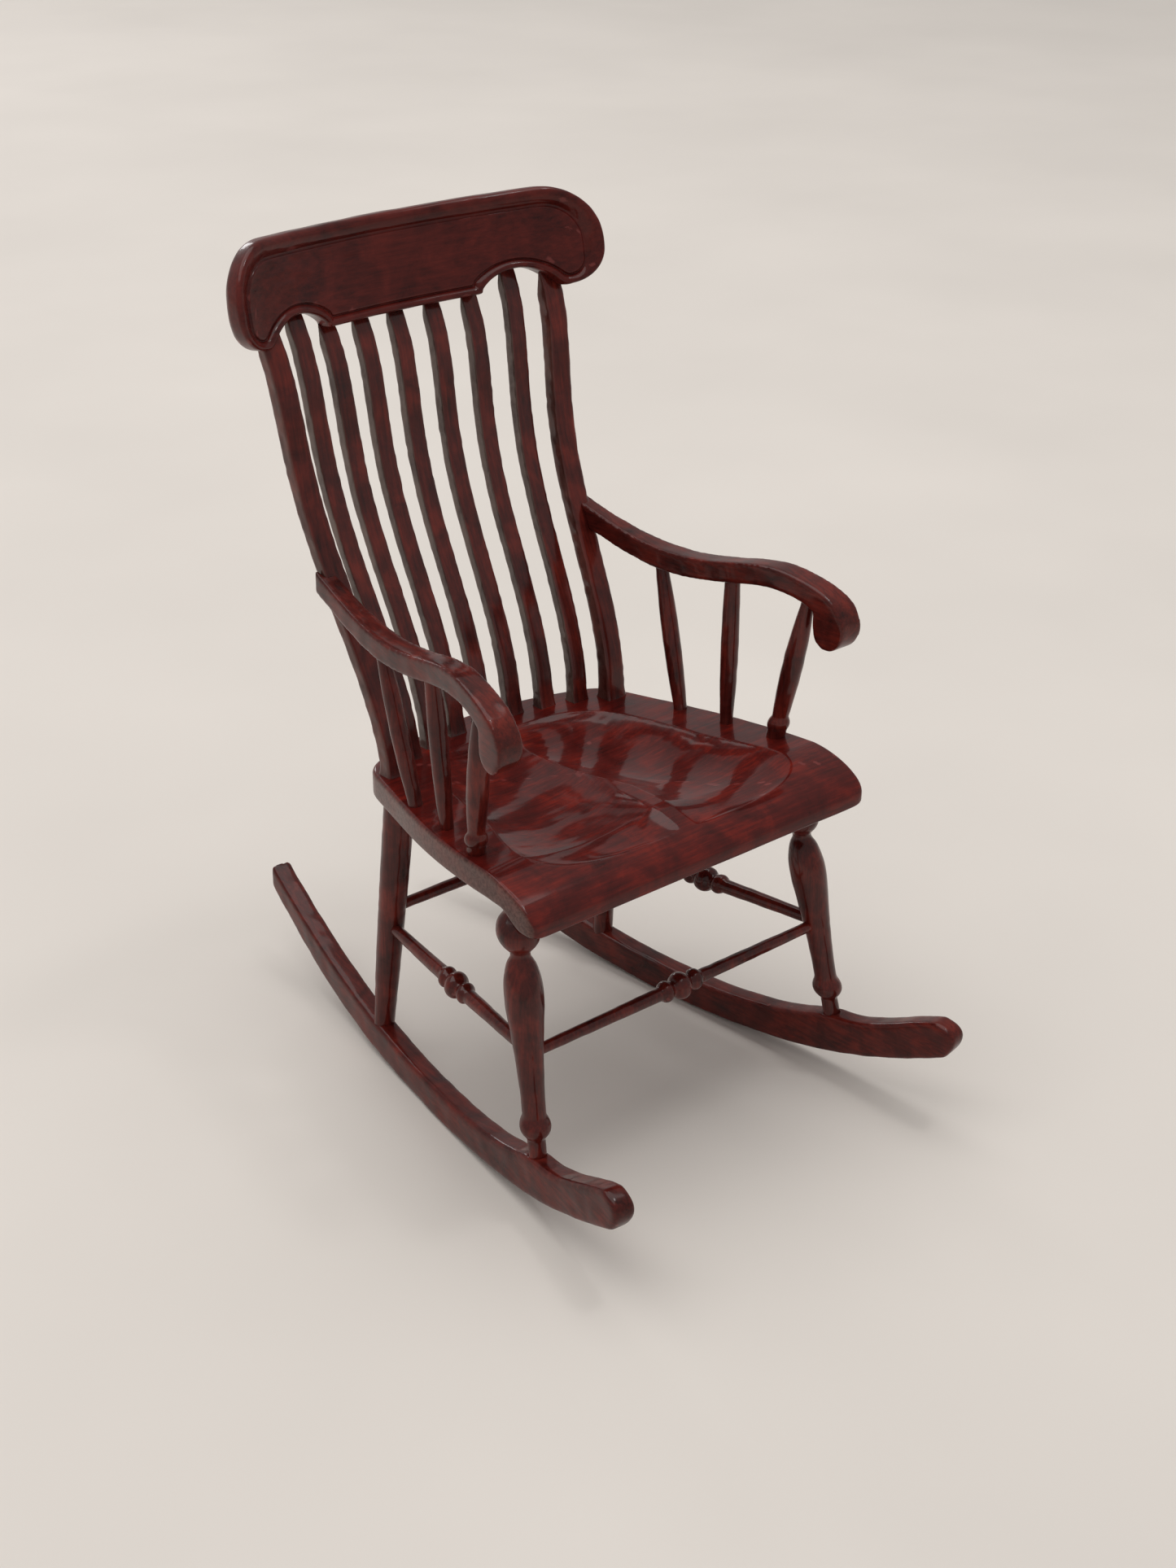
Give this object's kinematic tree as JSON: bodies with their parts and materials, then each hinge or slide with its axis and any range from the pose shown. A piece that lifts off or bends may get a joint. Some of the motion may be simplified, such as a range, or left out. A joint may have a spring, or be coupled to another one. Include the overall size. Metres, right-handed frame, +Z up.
{
  "type": "miniature rocking chair",
  "caption": "Dolls house rocking chair in glossy red-brown wood: saddle seat, slatted leaning back, scrolled arms on spindles, turned legs on rockers.",
  "frame": {"origin": "on the floor, under the middle of the whole chair's bounding box", "axes": "+Z up, the sitter faces -Y, +X to the right in front view"},
  "size_m": [0.0478, 0.0746, 0.0884],
  "materials": {
    "lacquered_wood": "glossy dark mahogany lacquer over fine grain, redder in the seat hollows"
  },
  "bodies": {
    "root": {"arm_left": "lacquered_wood", "arm_right": "lacquered_wood", "arm_spindle_front_left": "lacquered_wood", "arm_spindle_front_right": "lacquered_wood", "arm_spindle_middle_left": "lacquered_wood", "arm_spindle_middle_right": "lacquered_wood", "arm_spindle_rear_left": "lacquered_wood", "arm_spindle_rear_right": "lacquered_wood", "back_post_left": "lacquered_wood", "back_post_right": "lacquered_wood", "back_slat_1": "lacquered_wood", "back_slat_2": "lacquered_wood", "back_slat_3": "lacquered_wood", "back_slat_4": "lacquered_wood", "back_slat_5": "lacquered_wood", "back_slat_6": "lacquered_wood", "back_slat_7": "lacquered_wood", "crest_rail": "lacquered_wood", "front_leg_left": "lacquered_wood", "front_leg_right": "lacquered_wood", "front_stretcher": "lacquered_wood", "rear_leg_left": "lacquered_wood", "rear_leg_right": "lacquered_wood", "rear_stretcher": "lacquered_wood", "rocker_left": "lacquered_wood", "rocker_right": "lacquered_wood", "seat": "lacquered_wood", "side_stretcher_left": "lacquered_wood", "side_stretcher_right": "lacquered_wood"}
  },
  "joints": []
}
